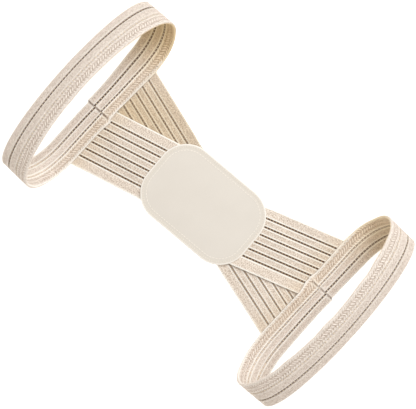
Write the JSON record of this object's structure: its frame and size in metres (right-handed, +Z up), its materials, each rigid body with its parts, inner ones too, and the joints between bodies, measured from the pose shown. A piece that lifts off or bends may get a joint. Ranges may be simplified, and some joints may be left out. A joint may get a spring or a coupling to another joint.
{
  "type": "posture corrector",
  "caption": "Beige elastic posture corrector: ribbed panels crossed under a sewn back pad, with an open shoulder loop of elastic at each side.",
  "frame": {"origin": "on the surface the part lies on, midway between the ends of the loops", "axes": "+X to the right loop, +Y to the wearer's neck, +Z up from the surface through the pad's outer face"},
  "size_m": [0.326, 0.1908, 0.0875],
  "materials": {
    "panel_elastic": "ribbed knitted elastic, matte",
    "loop_elastic": "ribbed knitted elastic, matte",
    "pad_cover": "smooth brushed microfibre, soft sheen"
  },
  "bodies": {
    "root": {"under_panel": "panel_elastic", "over_panel": "panel_elastic", "left_loop": "loop_elastic", "right_loop": "loop_elastic", "center_pad": "pad_cover"}
  },
  "joints": []
}
